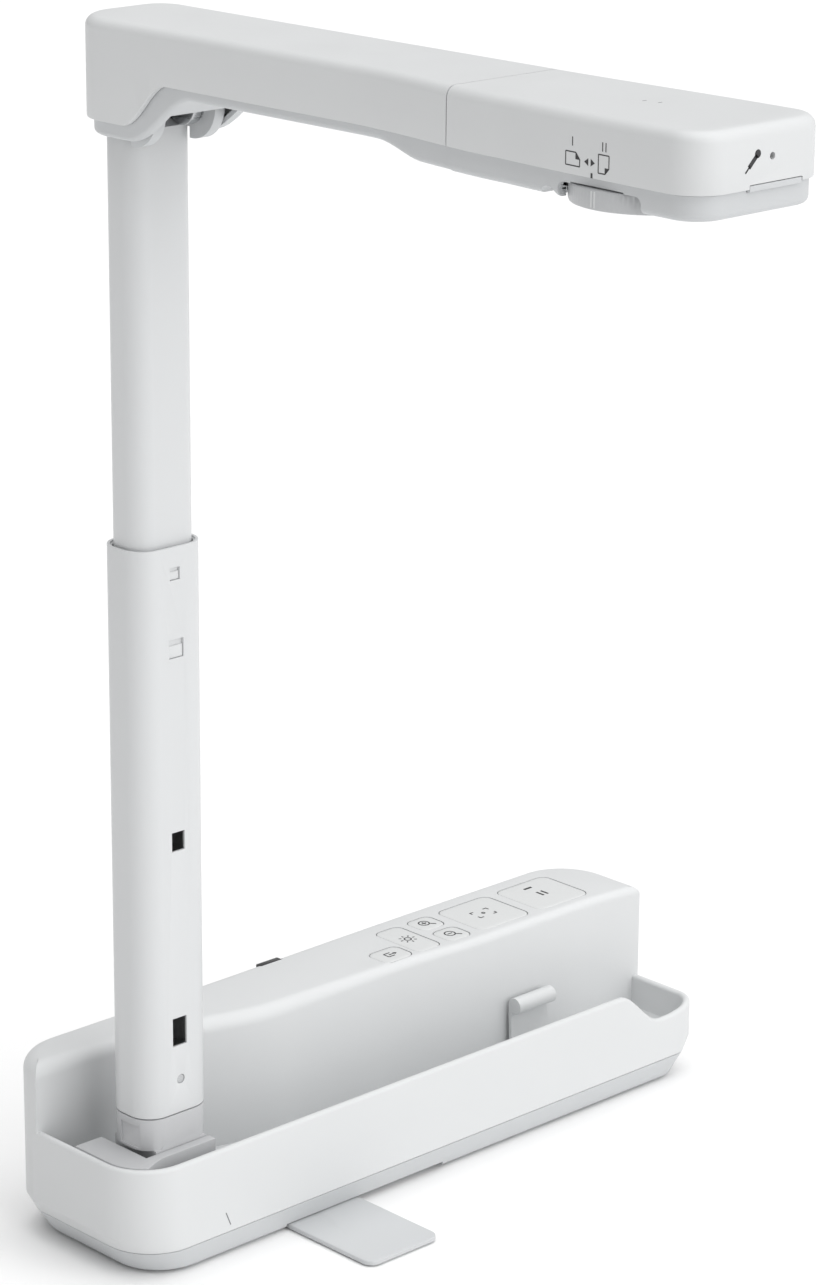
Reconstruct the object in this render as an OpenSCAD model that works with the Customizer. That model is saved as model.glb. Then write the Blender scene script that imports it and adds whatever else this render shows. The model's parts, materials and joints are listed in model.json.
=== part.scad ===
// Folding document camera: weighted base, telescopic column, folding arm and rotating camera head.
// Millimetres, +Z up, origin on the desk under the middle of the whole object.

/* [Base] */
// Length of the base
base_len = 265; // [260:1:270]
// Depth of the base
base_dep = 71; // [68:1:76]
// Height of the control block at the back of the base
block_z = 62.2; // [58:0.1:66]
// Height of the front rim
rim_z = 39.2; // [37:0.1:41]
// Height of the trough floor
floor_z = 15.7; // [14.5:0.1:17]
// Thickness of the casing walls
wall = 2.5; // [1.8:0.1:3]

/* [Column] */
// Fold pin axis, height
pin_z = 33.5; // [33:0.1:34]
// Top of the lower tube
lower_top = 240.9; // [230:0.1:250]
// Top of the upper tube when it is pulled out
upper_top = 371.4; // [365:0.1:375]

/* [Arm and head] */
// Top face of the arm and head
arm_top = 405; // [400:0.5:410]
// Reach of the head in front of the column axis
reach = 250; // [240:1:260]
// Radius of the rotating lens dial
dial_r = 21.6; // [20:0.1:23]

/* [Hidden] */
$fn = 48;

seam_z = 9.6;
front_right_r = 7;
left_end = -130;
right_end = left_end + base_len;
centre_x = (left_end + right_end) / 2;
end_slope = 2.7;
end_taper = 8;
slope_z = 14.2;
column_x = -101.4;
column_y = 22.9;
front_y = (reach - column_y - base_dep) / 2;
top_wall_z = block_z - wall;
cut = 1;
gap = 0.35;

shell_white = [0.9, 0.91, 0.91];
shell_grey = [0.82, 0.83, 0.84];
steel = [0.62, 0.64, 0.66];
dark = [0.12, 0.12, 0.13];
board_green = [0.12, 0.38, 0.24];
rubber_grey = [0.3, 0.3, 0.31];

// Arm pivot, swivel and dial, relative to the column axis
pivot_y = -9.5;
pivot_z = 378;
swivel_x = -1.4;
swivel_z = 394;
joint_y = -154;
dial_x = -7;
dial_y = -213.5;
lamp_x = 10;
lamp_y = -182;
arm_seam = 388.6;

// Keys: left, right, front, back and corner radius on the top of the block
source_key = [15.5, 29, 39.5, 50, 3];
brightness_key = [30.8, 42.5, 39.5, 62.8, 3];
zoom_in_key = [46.1, 57.2, 52.5, 63, 3];
zoom_out_key = [46.1, 57.2, 39.2, 49.8, 3];
focus_key = [61.4, 86.5, 39.2, 63, 3.5];
freeze_key = [91, 116.5, 39.2, 63, 3.5];
KEYS = [source_key, brightness_key, zoom_in_key, zoom_out_key, focus_key, freeze_key];
key_board_top = 51.1;
switch_h = 2;
key_flange = 0.9;
end_screws = [-112, 116];
bracket_screws = [-105, -96];

function smooth(t) = t <= 0 ? 0 : t >= 1 ? 1 : t * t * (3 - 2 * t);
function ease(x0, v0, x1, v1, n) =
    [for (i = [0:n]) [x0 + (x1 - x0) * i / n, v0 + (v1 - v0) * smooth(i / n)]];

// ---------- placement and plain shapes ----------

module in_base() translate([-centre_x, front_y, 0]) children();
module in_arm() translate([column_x - centre_x, front_y + column_y, 0]) children();
module slab(z0, z1) translate([0, 0, z0]) linear_extrude(height = z1 - z0) children();
module box(x0, x1, y0, y1, z0, z1) translate([x0, y0, z0]) cube([x1 - x0, y1 - y0, z1 - z0]);
module rod_x(x0, x1, y, z, r) translate([x0, y, z]) rotate([0, 90, 0]) cylinder(h = x1 - x0, r = r);
module rod_y(x, y0, y1, z, r) translate([x, y1, z]) rotate([90, 0, 0]) cylinder(h = y1 - y0, r = r);
module rod_z(x, y, z0, z1, r) translate([x, y, z0]) cylinder(h = z1 - z0, r = r);
module side_plate(x0, x1) translate([x0, 0, 0]) rotate([90, 0, 90]) linear_extrude(height = x1 - x0) children();
module front_plate(y0, y1) translate([0, y1, 0]) rotate([90, 0, 0]) linear_extrude(height = y1 - y0) children();

// Rounded rectangle; radii run front-left, front-right, back-right, back-left
module plan(x0, x1, y0, y1, r) {
    polygon([[x0 + r[0], y0], [x1 - r[1], y0], [x1, y0 + r[1]], [x1, y1 - r[2]],
        [x1 - r[2], y1], [x0 + r[3], y1], [x0, y1 - r[3]], [x0, y0 + r[0]]]);
    translate([x0 + r[0], y0 + r[0]]) circle(r[0]);
    translate([x1 - r[1], y0 + r[1]]) circle(r[1]);
    translate([x1 - r[2], y1 - r[2]]) circle(r[2]);
    translate([x0 + r[3], y1 - r[3]]) circle(r[3]);
}

module rounded(x0, x1, y0, y1, r) plan(x0, x1, y0, y1, [r, r, r, r]);
module tube_plan(w, d, r) rounded(-w / 2, w / 2, -d / 2, d / 2, r);

// ---------- base outlines ----------

module base_plan(inset) {
    plan(left_end + inset, right_end - inset, inset, base_dep - inset,
        [18 - inset, front_right_r - inset, 20 - inset, 20 - inset]);
}

// Room between the sloping ends of the base, set in from them by the thickness of a wall
module between_ends() {
    box(left_end + end_slope + wall, right_end - end_slope - wall, -cut, base_dep + cut, 0, slope_z + wall);
    box(left_end, right_end, -cut, base_dep + cut, slope_z + wall - cut, block_z);
}

// The ends of the upper shell lean in below slope_z; side is -1 for the left end and 1 for the right
module end_bevel(side) {
    x = side < 0 ? left_end : right_end;
    front_plate(-cut, base_dep + cut) polygon([[x + side * cut, slope_z], [x, slope_z],
        [x - side * end_slope, seam_z], [x - side * end_slope, seam_z - cut], [x + side * cut, seam_z - cut]]);
}

// Front face of the control block, from the left end to the right-hand wing
wing_x = 106;
wing_depth = 2.6;
block_front = concat([[left_end - cut, 51.5]], [[-113, 51.5]], ease(-100, 51, -33, 37.5, 10), [[12, 37]],
    [[60, 34.2]], [for (i = [0:6]) [wing_x + (right_end + cut - wing_x) * i / 6, 34.2 - wing_depth * (1 - cos(15 * i))]]);

module rear_zone(shift) {
    translate([0, shift]) polygon(concat(block_front, [[right_end + cut, 90], [left_end - cut, 90]]));
}

module front_zone() polygon(concat(block_front, [[right_end + cut, -10], [left_end - cut, -10]]));

// Space above the rim where it dips at the right-hand end
module rim_dip() {
    front_plate(-cut, 40) polygon(concat(ease(94, rim_z, 114, 25.5, 8), ease(118, 25.5, right_end + cut, 28, 5),
        [[right_end + cut, rim_z + cut], [94, rim_z + cut]]));
}

module key_plan(k, grow) rounded(k[0] - grow, k[1] + grow, k[2] - grow, k[3] + grow, k[4] + grow);
function key_mid(k) = [(k[0] + k[1]) / 2, (k[2] + k[3]) / 2];

catch_x0 = 69.2;
catch_x1 = 87.6;
socket_x = 40;
socket_z = 13.6;
ballast = [-112, 108, 28, 64];
post_places = [[-70, 32], [-70, 58], [50, 32], [50, 58]];
key_posts = [[8, 43.5], [8, 62], [121, 43.5], [121, 58]];

module base_upper_shell() {
    color(shell_white) in_base() difference() {
        union() {
            slab(seam_z, rim_z) base_plan(0);
            slab(seam_z, block_z) intersection() {
                base_plan(0);
                rear_zone(0);
            }
        }
        slab(floor_z, block_z) intersection() {
            base_plan(2.7);
            front_zone();
        }
        difference() {
            intersection() {
                union() {
                    slab(seam_z - cut, floor_z - 2) base_plan(wall);
                    slab(seam_z - cut, top_wall_z) intersection() {
                        base_plan(wall);
                        rear_zone(wall);
                    }
                }
                between_ends();
            }
            for (p = key_posts) rod_z(p[0], p[1], key_board_top, block_z - cut, 3);
            for (x = end_screws) rod_z(x, 20, seam_z, floor_z - cut, 3.5);
        }
        end_bevel(-1);
        end_bevel(1);
        intersection() {
            rim_dip();
            slab(20, 60) front_zone();
        }
        for (k = KEYS) {
            slab(top_wall_z - cut, block_z + cut) key_plan(k, 0.3);
            slab(block_z - 5.6, top_wall_z) key_plan(k, key_flange + gap);
        }
        box(-18.5, -7.1, 63.9, base_dep + cut, block_z - 3.2, block_z + cut);
        box(socket_x - 4.1, socket_x + 4.1, base_dep - wall - cut, base_dep + cut, 11.4, 15.8);
        for (p = key_posts) rod_z(p[0], p[1], key_board_top - cut, block_z - 4, 1.02);
        for (x = end_screws) rod_z(x, 20, seam_z, floor_z - 0.8, 1.02);
        for (x = bracket_screws) rod_z(x, 43, floor_z - 2 - cut, floor_z + cut, 1.52);
    }
}

foot_px = -48;
foot_py = 16.4;
foot_len = 54;
foot_half = 15.75;

module base_lower_shell() {
    seam_len = base_len - 2 * end_slope;
    color(shell_grey) in_base() difference() {
        translate([centre_x, base_dep / 2, seam_z]) mirror([0, 0, 1])
            linear_extrude(height = seam_z - cut, slices = 1,
                scale = [1 - 2 * (end_taper - end_slope) / seam_len, 1 - 4.8 / base_dep])
            translate([-centre_x, -base_dep / 2])
            plan(left_end + end_slope, right_end - end_slope, 0, base_dep, [17, 6, 18, 18]);
        difference() {
            slab(3.8, seam_z + cut) intersection() {
                base_plan(6.5);
                translate([left_end + 11, 0]) square([base_len - 22, base_dep]);
            }
            for (p = post_places) rod_z(p[0], p[1], 3, seam_z, 3);
            for (x = end_screws) rod_z(x, 20, 3, seam_z, 5);
            rod_z(foot_px, foot_py, 3, seam_z, 5.5);
        }
        foot_recess();
        rod_z(foot_px, foot_py, 0, 8, 2.02);
        for (p = post_places) rod_z(p[0], p[1], 5, seam_z + cut, 1.02);
        for (x = end_screws) {
            rod_z(x, 20, 0, seam_z + cut, 1.6);
            rod_z(x, 20, 0, 4, 3.2);
        }
    }
}

// Hollow under the base that the foot swings in, a quarter turn wide
module foot_recess() {
    side = foot_half + 1;
    slab(0, 2.6) translate([foot_px, foot_py]) {
        circle(side);
        intersection() {
            circle(foot_len + 3);
            translate([-side, -foot_len - 5]) square([foot_len + 5 + side, foot_len + 5 + side]);
        }
    }
}

module hinge_housing() {
    color(shell_grey) in_base() difference() {
        slab(floor_z, rim_z) intersection() {
            base_plan(2.75);
            polygon(concat([[left_end, 4.6]], ease(-126, 4.6, -111, 8.75, 8), [[-89.8, 8.75], [-89.8, 12.2],
                [-116.3, 12.2], [-116.3, 35], [left_end, 35]]));
        }
        box(-125, -118.8, 9.5, 32.5, floor_z - cut, rim_z - 2.5);
        rod_y(column_x, 9.8, 13, pin_z, 2.02);
    }
}

module hinge_bracket() {
    color(steel) in_base() difference() {
        union() {
            box(-109, -92, 33.65, 35.85, floor_z, 36);
            rod_y(column_x, 33.65, 35.85, pin_z, 4.5);
            box(-109, -92, 33.65, 48, floor_z, floor_z + 2);
        }
        rod_y(column_x, 33, 37, pin_z, 2.02);
        for (x = bracket_screws) rod_z(x, 43, floor_z - cut, floor_z + 3, 1.6);
    }
}

module column_hinge_pin() {
    color(steel) in_base() rod_y(column_x, 9.8, 41.2, pin_z, 2);
}

module hinge_washers() {
    color(steel) in_base() for (y = [35.87, 36.49]) difference() {
        rod_y(column_x, y, y + 0.56, pin_z, 4);
        rod_y(column_x, y - cut, y + 2, pin_z, 2.02);
    }
}

module hinge_nut() {
    color(steel) in_base() difference() {
        translate([column_x, 40.25, pin_z]) rotate([90, 0, 0]) cylinder(h = 3.2, r = 4.1, $fn = 6);
        rod_y(column_x, 36, 42, pin_z, 2.02);
    }
}

module ballast_plate() {
    color(steel) in_base() difference() {
        slab(4, 8.8) rounded(ballast[0], ballast[1], ballast[2], ballast[3], 6);
        for (p = post_places) rod_z(p[0], p[1], 3, 10, 3.4);
    }
}

module rubber_feet() {
    color(rubber_grey) in_base() for (x = [-110, 114], y = [13, 58]) rod_z(x, y, 0, 1, 4.5);
}

module screw_z(x, y, z_head, z_tip, r_head, r_shank, head_h) {
    dir = z_tip > z_head ? 1 : -1;
    rod_z(x, y, min(z_head, z_head + dir * head_h), max(z_head, z_head + dir * head_h), r_head);
    rod_z(x, y, min(z_head, z_tip), max(z_head, z_tip), r_shank);
}

module base_screws() {
    color(steel) in_base() {
        for (p = post_places) screw_z(p[0], p[1], 13.2, 6, 2.4, 1, 1.2);
        for (p = key_posts) screw_z(p[0], p[1], 48.2, 56, 2.2, 1, 1.2);
        for (x = end_screws) screw_z(x, 20, 2, 14, 2.8, 1, 1.8);
        for (x = bracket_screws) screw_z(x, 43, floor_z + 3.2, floor_z - 1.8, 2.4, 1.5, 1.2);
    }
}

module main_board() {
    color(board_green) in_base() difference() {
        union() {
            slab(10.4, 12) rounded(-80, 60, 22, 66.5, 2);
            box(-30, -16, 44, 58, 12, 13.2);
            box(4, 13, 48, 57, 12, 13.2);
            box(-60, -50, 50, 62, 12, 16.5);
        }
        for (p = post_places) rod_z(p[0], p[1], 9, 13, 1.02);
    }
}

module key_board() {
    color(board_green) in_base() difference() {
        slab(49.5, key_board_top) plan(4.5, 122, 41, 64.5, [2, 2, 9, 2]);
        for (p = key_posts) rod_z(p[0], p[1], 49, 52, 1.02);
    }
}

module tact_switches() {
    color(dark) in_base() for (k = KEYS) translate(concat(key_mid(k), [key_board_top])) {
        translate([-3, -3, 0]) cube([6, 6, 1.4]);
        cylinder(h = switch_h, r = 1.7);
    }
}

module usb_socket() {
    color(steel) in_base() {
        difference() {
            box(socket_x - 3.9, socket_x + 3.9, 62.2, base_dep - 0.3, 12, 15.6);
            box(socket_x - 3.5, socket_x + 3.5, 63.4, base_dep, 12.35, 15.25);
        }
        box(socket_x - 2.6, socket_x + 2.6, 63, base_dep - 1.5, 13.4, 14.2);
    }
}

module status_window() {
    color(dark) in_base() box(-18.2, -7.4, 64.2, base_dep - 0.2, block_z - 3.1, block_z - 0.1);
}

module foot_pivot() {
    color(steel) in_base() {
        rod_z(foot_px, foot_py, 0.5, 0.9, 4.4);
        rod_z(foot_px, foot_py, 0.5, 2.9, 2);
        rod_z(foot_px, foot_py, 0.5, 7.5, 2);
    }
}

// Lead from the main board up to the key board, behind the keys
module base_harness() {
    color(dark) in_base() {
        rod_z(30, 62, 12, 49.5, 1.6);
        rod_z(27, 62, 12, 49.5, 1.6);
    }
}

// Springy catch that stands in front of the block; its top rolls forward
module column_catch() {
    color(shell_white) in_base() {
        rod_x(catch_x0, catch_x1, 30, 33.9, 3);
        side_plate(catch_x0, catch_x1)
            polygon([[31, 17], [32.4, 17], [33, 30], [33, 33.9], [30, 33.9], [31.6, 30]]);
        rod_x(catch_x0, catch_x1, 31.7, 17.1, 1.1);
    }
}

module key(k) {
    color(shell_white) in_base() {
        slab(block_z - 3.4, block_z) key_plan(k, 0);
        slab(block_z - 4.6, block_z - 3.0) key_plan(k, key_flange);
        rod_z(key_mid(k)[0], key_mid(k)[1], key_board_top + switch_h + 0.95, block_z - 4, 1.6);
    }
}

module key_source() key(source_key);
module key_brightness() key(brightness_key);
module key_zoom_in() key(zoom_in_key);
module key_zoom_out() key(zoom_out_key);
module key_focus() key(focus_key);
module key_freeze() key(freeze_key);

module foot_plate() {
    color(shell_grey) in_base() difference() {
        slab(0.5, 2.1) translate([foot_px, foot_py]) {
            circle(foot_half);
            plan(-foot_half, foot_half, -foot_len, 0, [4, 4, 0.01, 0.01]);
        }
        rod_z(foot_px, foot_py, 0.4, 1.25, 4.9);
        rod_z(foot_px, foot_py, 0, 3, 2.05);
    }
}

module foot_pad() {
    color(rubber_grey) in_base() slab(0, 0.5) translate([foot_px, foot_py])
        rounded(-12, 12, -foot_len + 3, -foot_len + 15, 3);
}

// ---------- column ----------

module column_knuckle() {
    color(shell_grey) in_base() translate([column_x, column_y, 0]) difference() {
        union() {
            slab(39.7, 50.4) tube_plan(28.3, 20.7, 8);
            slab(50.4, 68) tube_plan(26.1, 18.5, 6.9);
            box(-10.5, 10.5, -10.35, 10.35, pin_z, 39.8);
            rod_y(0, -10.35, 10.35, pin_z, 10.5);
        }
        rod_y(0, -11, 11, pin_z, 2.05);
        rod_z(0, 2, 42, 70, 4);
        rod_y(0.3, -11, -4, 62.3, 1.02);
        box(-15, -13.4, -15, 3, 40.6, 48);
    }
}

// Window in the front wall of a tube: left, right, bottom, top
module front_window(w) box(w[0], w[1], -12, -6, w[2], w[3]);
guide_windows = [[-1.8, 2.2, 230.2, 234.3], [-2.5, 3.4, 204.8, 211]];
stop_windows = [[-2.2, 3, 140.7, 147.1], [-2.8, 3, 74.1, 83.8]];

module lower_tube() {
    color(shell_white) in_base() translate([column_x, column_y, 0]) difference() {
        slab(50.4, lower_top) tube_plan(28.3, 20.7, 8);
        slab(50, lower_top + cut) tube_plan(26.3, 18.7, 7);
        for (w = concat(guide_windows, stop_windows)) front_window(w);
        rod_y(0.3, -11, -9, 62.3, 1.6);
    }
}

module column_screw() {
    color(steel) in_base() translate([column_x, column_y, 0]) {
        rod_y(0.3, -10.1, -9.4, 62.3, 1.5);
        rod_y(0.3, -10.1, -4.5, 62.3, 1);
    }
}

module tube_guide() {
    color(shell_white) in_base() translate([column_x, column_y, 0]) {
        difference() {
            slab(204, lower_top - 0.6) tube_plan(26.28, 18.68, 7);
            slab(203, lower_top) tube_plan(25.5, 17.3, 6.6);
        }
        for (w = guide_windows)
            box(w[0] + 0.15, w[1] - 0.15, -9.9, -8.9, w[2] + 0.15, w[3] - (w[3] - w[2]) / 3);
    }
}

module upper_tube() {
    color(shell_white) in_arm() difference() {
        slab(190, upper_top) tube_plan(24.8, 16.5, 6.5);
        slab(189, upper_top + cut) tube_plan(22.4, 14.1, 5.3);
        for (x = [-6, 6]) rod_y(x, 6, 9, 363, 1.6);
    }
}

module slide_shoe() {
    color(dark) in_arm() difference() {
        union() {
            slab(186, 190) tube_plan(25.6, 18, 6.9);
            slab(190, 200) tube_plan(22.3, 14, 5.2);
        }
        slab(185, 201) tube_plan(15, 8, 3.5);
    }
}

lug_r = 6.2;

module elbow_yoke() {
    color(shell_grey) in_arm() difference() {
        union() {
            slab(352, upper_top) tube_plan(22.3, 14, 5.2);
            slab(upper_top, upper_top + 1.8) tube_plan(24.8, 16.5, 6.5);
            difference() {
                for (s = [-1, 1]) {
                    rod_x(s > 0 ? 9.6 : -13.4, s > 0 ? 13.4 : -9.6, pivot_y, pivot_z, 10.8);
                    box(s > 0 ? 9.6 : -12.2, s > 0 ? 12.2 : -9.6, -8, 4, upper_top, pivot_z);
                }
                box(-15, 15, -8.4, 15, 360, upper_top);
            }
        }
        rod_x(-15, 15, pivot_y, pivot_z, 2.52);
        rod_x(-9.6, 9.6, pivot_y, pivot_z, lug_r + gap);
        rod_z(0, 1.5, 350, upper_top + 3, 3.5);
        for (x = [-6, 6]) rod_y(x, 3, 8, 363, 1.02);
    }
}

module arm_hinge_pin() {
    color(steel) in_arm() rod_x(-13.2, 13.2, pivot_y, pivot_z, 2.5);
}

module friction_washers() {
    color(steel) in_arm() for (x = [-9.6, 9]) difference() {
        rod_x(x, x + 0.6, pivot_y, pivot_z, lug_r - 0.2);
        rod_x(x - cut, x + 2, pivot_y, pivot_z, 2.52);
    }
}

module yoke_screws() {
    color(steel) in_arm() for (x = [-6, 6]) {
        rod_y(x, 7.2, 8.1, 363, 1.5);
        rod_y(x, 4, 8.1, 363, 1);
    }
}

// ---------- arm ----------

arm_rear = 15.8;
arm_left = -19.4;
arm_right = 20.7;

// Plan of the arm: the left side widens towards the head
module arm_plan(inset) {
    intersection() {
        plan(arm_left + inset, arm_right - inset, joint_y + 0.2 - 20, arm_rear - inset,
            [0.01, 0.01, 10 - inset, 17 - inset]);
        translate([-100, joint_y + 0.2]) square([200, 200]);
    }
    polygon([[arm_left + inset, -118], [-22.4 + inset, joint_y + 0.2], [0, joint_y + 0.2], [0, -118]]);
}

// Side outlines, as [y, z]: the shell drops round the top of the column
upper_side = concat([[joint_y - 1, arm_top], [arm_rear + 1, arm_top], [arm_rear + 1, 374.6]],
    ease(-11, 374.6, -31, arm_seam, 10), [[joint_y - 1, arm_seam]]);
lower_side = concat([[joint_y - 1, arm_seam - 0.2], [arm_rear + 1, arm_seam - 0.2], [arm_rear + 1, 369.5]],
    ease(-11, 369.5, -40, 385, 10), ease(-118.6, 385, -139, 381.5, 6), [[joint_y - 1, 381.5]]);

module arm_upper_shell() {
    color(shell_white) in_arm() difference() {
        intersection() {
            side_plate(-30, 30) polygon(upper_side);
            slab(360, arm_top) arm_plan(0);
        }
        difference() {
            slab(360, arm_top - 2) arm_plan(1.8);
            box(-40, 40, joint_y - 1, joint_y + 2.4, 360, 410);
        }
        rod_y(swivel_x, joint_y - 1, joint_y + 4, swivel_z, 7.02);
    }
}

module arm_lower_shell() {
    color(shell_grey) in_arm() difference() {
        intersection() {
            side_plate(-30, 30) polygon(lower_side);
            slab(360, arm_seam) arm_plan(2.2);
        }
        box(-14.8, 15.8, joint_y + 2.4, -42, 386.8, 390);
        box(-14, 14, -42, pivot_y + 11.4, 386.8, 390);
        rod_x(-14, 14, pivot_y, pivot_z, 11.4);
        intersection() {
            rod_x(-14, 14, pivot_y, pivot_z, 19.4);
            box(-15, 15, -40, 12, 360, 380.5);
        }
        box(-14, 14, -45, pivot_y, 360, 380.5);
        slab(360, 378) tube_plan(26, 17.9, 7);
        rod_y(swivel_x, joint_y - 1, joint_y + 4, swivel_z, 7.02);
        for (x = [-6, 6]) rod_z(x, -38, 380, 392, 1.02);
    }
}

module arm_hinge_bracket() {
    color(steel) in_arm() difference() {
        union() {
            for (x = [-8.6, 5.2]) {
                rod_x(x, x + 3.4, pivot_y, pivot_z, lug_r);
                box(x, x + 3.4, pivot_y - lug_r, pivot_y + lug_r, pivot_z, 390);
            }
            box(-8.6, 8.6, -41, pivot_y + lug_r, 388.5, 390.3);
        }
        rod_x(-15, 15, pivot_y, pivot_z, 2.55);
        for (x = [-6, 6]) rod_z(x, -38, 387, 392, 1.6);
    }
}

module arm_screws() {
    color(steel) in_arm() for (x = [-6, 6]) {
        rod_z(x, -38, 390.3, 391.6, 2.4);
        rod_z(x, -38, 385.4, 391, 1);
    }
}

module arm_cable() {
    color(dark) in_arm() {
        rod_y(swivel_x, -160, -46, swivel_z, 1.6);
        rod_y(swivel_x + 3.4, -160, -46, swivel_z, 1.2);
    }
}

module swivel_bush() {
    color(dark) in_arm() difference() {
        rod_y(swivel_x, joint_y + 0.2, joint_y + 10, swivel_z, 7);
        rod_y(swivel_x, joint_y - 1, joint_y + 11, swivel_z, 5.55);
    }
}

// ---------- head ----------

head_left = -28.5;
head_right = 22.5;
tip_y = -reach;
head_mid_y = -232;
HEAD_POSTS = [[8, -170], [14, -238], [-19, -238]];

// Plan of the head: it widens from the joint to a tip with round corners
tip_r = 10.5;

module head_plan(inset) {
    left = head_left + inset;
    right = head_right - inset;
    tip = tip_y + inset;
    r = tip_r - inset;
    polygon([[left + r, tip], [right - r, tip], [right, tip + r], [right, head_mid_y], [21.5 - inset, -190],
        [arm_right - inset, joint_y - 0.2], [-22.4 + inset, joint_y - 0.2], [-23.6 + inset, -161],
        [-25.6 + inset, -177], [-27 + inset, -200], [left, head_mid_y], [left, tip + r]]);
    translate([left + r, tip + r]) circle(r);
    translate([right - r, tip + r]) circle(r);
}

module head_upper_shell() {
    color(shell_white) in_arm() difference() {
        slab(arm_seam, arm_top) head_plan(0);
        difference() {
            slab(arm_seam - cut, arm_top - 2) head_plan(2);
            box(-40, 40, joint_y - 2.6, joint_y + 1, 380, 410);
            for (p = HEAD_POSTS) rod_z(p[0], p[1], arm_seam + 0.3, arm_top, 3);
        }
        rod_y(swivel_x, joint_y - 4, joint_y + 1, swivel_z, 5.52);
        rod_y(-0.6, tip_y - cut, tip_y + 3, 396.5, 1.05);
        box(-9.1, 11.5, tip_y - cut, tip_y + 2.5, arm_seam - cut, arm_seam + 1.3);
        for (p = HEAD_POSTS) rod_z(p[0], p[1], arm_seam, arm_top - 4, 1.02);
    }
}

dial_cut_r = dial_r + 0.4;
head_under = 381.5;

module head_lower_shell() {
    color(shell_grey) in_arm() difference() {
        slab(head_under, arm_seam - 0.2) head_plan(1.6);
        difference() {
            slab(head_under + 1.8, arm_seam) head_plan(3.6);
            for (p = HEAD_POSTS) rod_z(p[0], p[1], 380, arm_seam, 3.4);
        }
        rod_y(swivel_x, joint_y - 4, joint_y + 1, swivel_z, 5.52);
        rod_z(dial_x, dial_y, 380, 386.2, dial_cut_r);
        rod_z(dial_x, dial_y, 385, 390, 13);
        box(-9.1, 11.5, tip_y, tip_y + 4.4, 387.6, 390);
        rod_z(lamp_x, lamp_y, 380, 384.6, 4.02);
        for (p = HEAD_POSTS) {
            rod_z(p[0], p[1], 380, 390, 1.6);
            rod_z(p[0], p[1], 380, 384, 2.8);
        }
    }
}

module swivel_tube() {
    color(steel) in_arm() difference() {
        rod_y(swivel_x, joint_y - 12, joint_y + 14, swivel_z, 5.5);
        rod_y(swivel_x, joint_y - 13, joint_y + 15, swivel_z, 4.6);
    }
}

module head_board() {
    color(board_green) in_arm() difference() {
        slab(398, 399.4) rounded(-21, 17, -242, -172, 3);
        for (p = HEAD_POSTS) rod_z(p[0], p[1], 397, 400, 3.4);
    }
}

module microphone() {
    color(dark) in_arm() rod_y(-0.6, tip_y + 2.1, tip_y + 6, 396.3, 1.6);
}

module lamp_led() {
    color("gold") in_arm() rod_z(lamp_x, lamp_y, 385, 387, 2.4);
}

module lamp_lens() {
    color([0.9, 0.95, 1]) in_arm() rod_z(lamp_x, lamp_y, head_under, 384.5, 4);
}

module head_screws() {
    color(steel) in_arm() for (p = HEAD_POSTS) {
        rod_z(p[0], p[1], 382.6, 384, 2.5);
        rod_z(p[0], p[1], 383, 396, 1);
    }
}

// ---------- rotating lens unit ----------

dial_low = 380.4;
dial_high = 385.9;

module rotation_dial() {
    color(shell_white) in_arm() difference() {
        union() {
            rod_z(dial_x, dial_y, dial_low, dial_high, dial_r);
            rod_z(dial_x, dial_y, dial_high, 391, 12.5);
        }
        rod_z(dial_x, dial_y, dial_low - cut, 392, 9.02);
        rod_z(dial_x, dial_y, dial_low - cut, dial_low + 1.6, 12);
    }
}

module lens_barrel() {
    color(dark) in_arm() difference() {
        rod_z(dial_x, dial_y, 383, 393, 9);
        rod_z(dial_x, dial_y, 382, 385.4, 6.52);
        rod_z(dial_x, dial_y, 385, 392, 3);
    }
}

module lens_glass() {
    color([0.5, 0.6, 0.75]) in_arm() rod_z(dial_x, dial_y, 383.6, 385.4, 6.5);
}

module sensor_board() {
    color(board_green) in_arm() slab(393, 394.2) translate([dial_x, dial_y]) rounded(-8, 8, -8, 8, 1);
}

module lamp_bar() {
    color(shell_grey) in_arm() box(-8.8, 11.2, tip_y, tip_y + 1.5, arm_seam - 0.65, arm_seam + 1);
}

base_upper_shell();
base_lower_shell();
hinge_housing();
hinge_bracket();
column_hinge_pin();
hinge_washers();
hinge_nut();
ballast_plate();
rubber_feet();
base_screws();
main_board();
key_board();
tact_switches();
usb_socket();
status_window();
foot_pivot();
base_harness();
column_catch();
key_source();
key_brightness();
key_zoom_in();
key_zoom_out();
key_focus();
key_freeze();
foot_plate();
foot_pad();
column_knuckle();
lower_tube();
column_screw();
tube_guide();
upper_tube();
slide_shoe();
elbow_yoke();
arm_hinge_pin();
friction_washers();
yoke_screws();
arm_upper_shell();
arm_lower_shell();
arm_hinge_bracket();
arm_screws();
arm_cable();
swivel_bush();
head_upper_shell();
head_lower_shell();
swivel_tube();
head_board();
microphone();
lamp_led();
lamp_lens();
head_screws();
rotation_dial();
lens_barrel();
lens_glass();
sensor_board();
lamp_bar();
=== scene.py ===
import json
import math

import bmesh
import bpy
from mathutils import Matrix, Vector


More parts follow.
